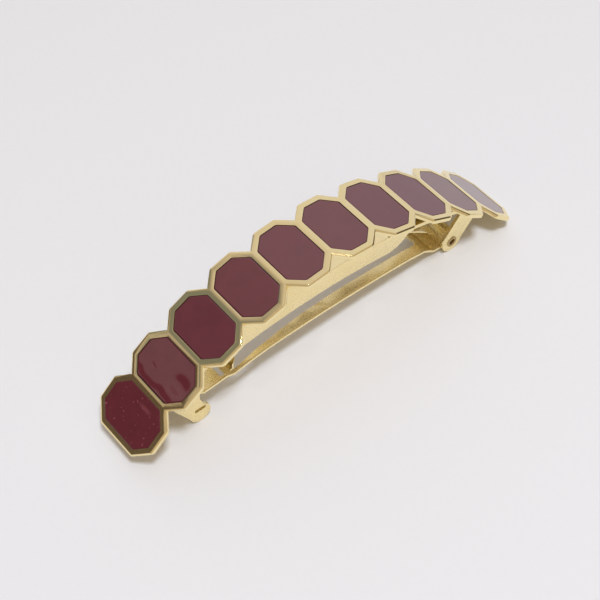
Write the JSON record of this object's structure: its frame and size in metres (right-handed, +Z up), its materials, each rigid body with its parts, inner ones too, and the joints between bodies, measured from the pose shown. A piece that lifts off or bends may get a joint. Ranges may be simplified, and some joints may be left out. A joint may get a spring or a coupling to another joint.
{
  "type": "hair barrette",
  "caption": "Arched hair barrette: a row of gold-rimmed octagonal trays filled with burgundy enamel, on a French clip with a hinged arm, bow spring and pinch latch.",
  "frame": {"origin": "middle of the length and width, on the surface that the barrette rests on", "axes": "+X along the row towards the hinge end, +Y to the back, +Z up; the clip's mirror plane is XZ"},
  "size_m": [0.089, 0.0156, 0.023],
  "materials": {
    "cast_gold": "polished pale gold plate over cast metal",
    "clip_gold": "bright pale gold plate over stamped sheet",
    "spring_gold": "gold-plated spring strip",
    "solder": "plated solder",
    "enamel": "glossy burgundy enamel"
  },
  "bodies": {
    "frame": {"frame_plate": "cast_gold", "enamel_01": "enamel", "enamel_02": "enamel", "enamel_03": "enamel", "enamel_04": "enamel", "enamel_05": "enamel", "enamel_06": "enamel", "enamel_07": "enamel", "enamel_08": "enamel", "enamel_09": "enamel", "enamel_10": "enamel", "top_bar": "clip_gold", "solder_latch_end": "solder", "solder_hinge_end": "solder", "hinge_pin": "clip_gold"},
    "arm": {"arm": "clip_gold", "bow_spring": "spring_gold"},
    "latch_wing_front": {"latch_wing_front": "clip_gold"},
    "latch_wing_back": {"latch_wing_back": "clip_gold"}
  },
  "joints": [
    {"name": "arm_hinge", "type": "hinge", "parent": "frame", "child": "arm", "pos_m": [0.0303, 0, 0.00229], "axis": [0, -1, 0], "range_deg": [0, 100]},
    {"name": "pinch_front", "type": "hinge", "parent": "frame", "child": "latch_wing_front", "pos_m": [-0.03131, -0.00417, 0.01131], "axis": [0.9182, 0, 0.396], "range_deg": [0, 2], "stiffness_Nm_per_rad": 0.05},
    {"name": "pinch_back", "type": "hinge", "parent": "frame", "child": "latch_wing_back", "pos_m": [-0.03131, 0.00417, 0.01131], "axis": [-0.9182, 0, -0.396], "range_deg": [0, 2], "stiffness_Nm_per_rad": 0.05}
  ]
}
